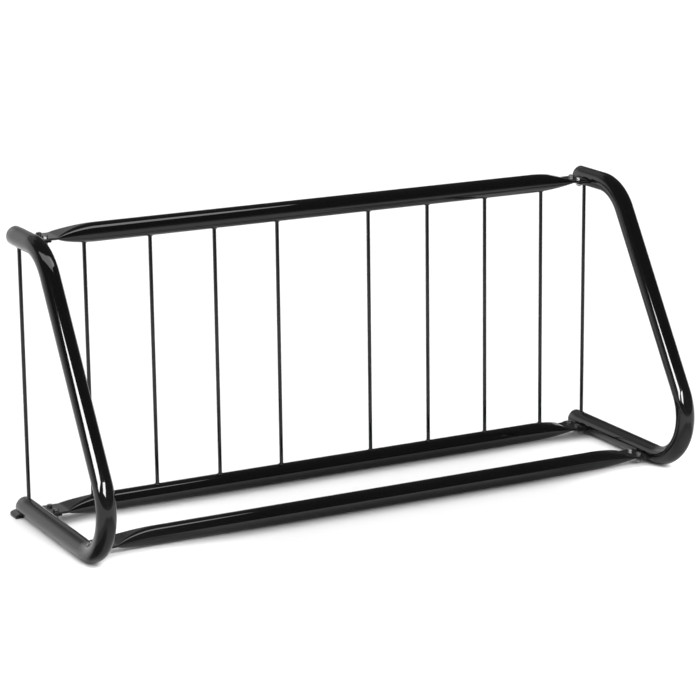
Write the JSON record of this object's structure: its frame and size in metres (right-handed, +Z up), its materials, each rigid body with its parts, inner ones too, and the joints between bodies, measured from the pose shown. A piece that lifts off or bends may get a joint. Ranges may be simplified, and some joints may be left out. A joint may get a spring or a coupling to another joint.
{
  "type": "floor bike rack",
  "caption": "Floor bike rack: bent tube end frames joined by rails with bolted flat ends, and upright rods between the rails that form wheel slots.",
  "frame": {"origin": "middle of the floor area that the rack's box covers, on the floor", "axes": "+X along the rails, to the right as seen from the side that the wheels enter, +Y to the rear, where the upright rods stand, +Z up"},
  "size_m": [1.692, 0.5742, 0.7303],
  "materials": {
    "black_coat": "gloss black coating on steel tube",
    "zinc_plate": "bright zinc plate",
    "black_plastic": "fine satin moulded plastic"
  },
  "bodies": {
    "root": {"left_end_frame": "black_coat", "right_end_frame": "black_coat", "top_rail": "black_coat", "rear_floor_rail": "black_coat", "front_floor_rail": "black_coat", "grid_rod_1": "black_coat", "grid_rod_2": "black_coat", "grid_rod_3": "black_coat", "grid_rod_4": "black_coat", "grid_rod_5": "black_coat", "grid_rod_6": "black_coat", "grid_rod_7": "black_coat", "grid_rod_8": "black_coat", "left_end_rod": "black_coat", "right_end_rod": "black_coat", "left_anchor_ear": "black_coat", "right_anchor_ear": "black_coat", "left_top_plate": "black_coat", "left_rear_floor_plate": "black_coat", "left_front_floor_plate": "black_coat", "right_top_plate": "black_coat", "right_rear_floor_plate": "black_coat", "right_front_floor_plate": "black_coat", "left_top_plug": "black_plastic", "left_floor_plug": "black_plastic", "right_top_plug": "black_plastic", "right_floor_plug": "black_plastic", "left_top_front_bolt": "zinc_plate", "left_top_rear_bolt": "zinc_plate", "left_rear_floor_front_bolt": "zinc_plate", "left_rear_floor_rear_bolt": "zinc_plate", "left_front_floor_front_bolt": "zinc_plate", "left_front_floor_rear_bolt": "zinc_plate", "right_top_front_bolt": "zinc_plate", "right_top_rear_bolt": "zinc_plate", "right_rear_floor_front_bolt": "zinc_plate", "right_rear_floor_rear_bolt": "zinc_plate", "right_front_floor_front_bolt": "zinc_plate", "right_front_floor_rear_bolt": "zinc_plate", "left_top_front_nut": "zinc_plate", "left_top_rear_nut": "zinc_plate", "left_rear_floor_front_nut": "zinc_plate", "left_rear_floor_rear_nut": "zinc_plate", "left_front_floor_front_nut": "zinc_plate", "left_front_floor_rear_nut": "zinc_plate", "right_top_front_nut": "zinc_plate", "right_top_rear_nut": "zinc_plate", "right_rear_floor_front_nut": "zinc_plate", "right_rear_floor_rear_nut": "zinc_plate", "right_front_floor_front_nut": "zinc_plate", "right_front_floor_rear_nut": "zinc_plate"}
  },
  "joints": []
}
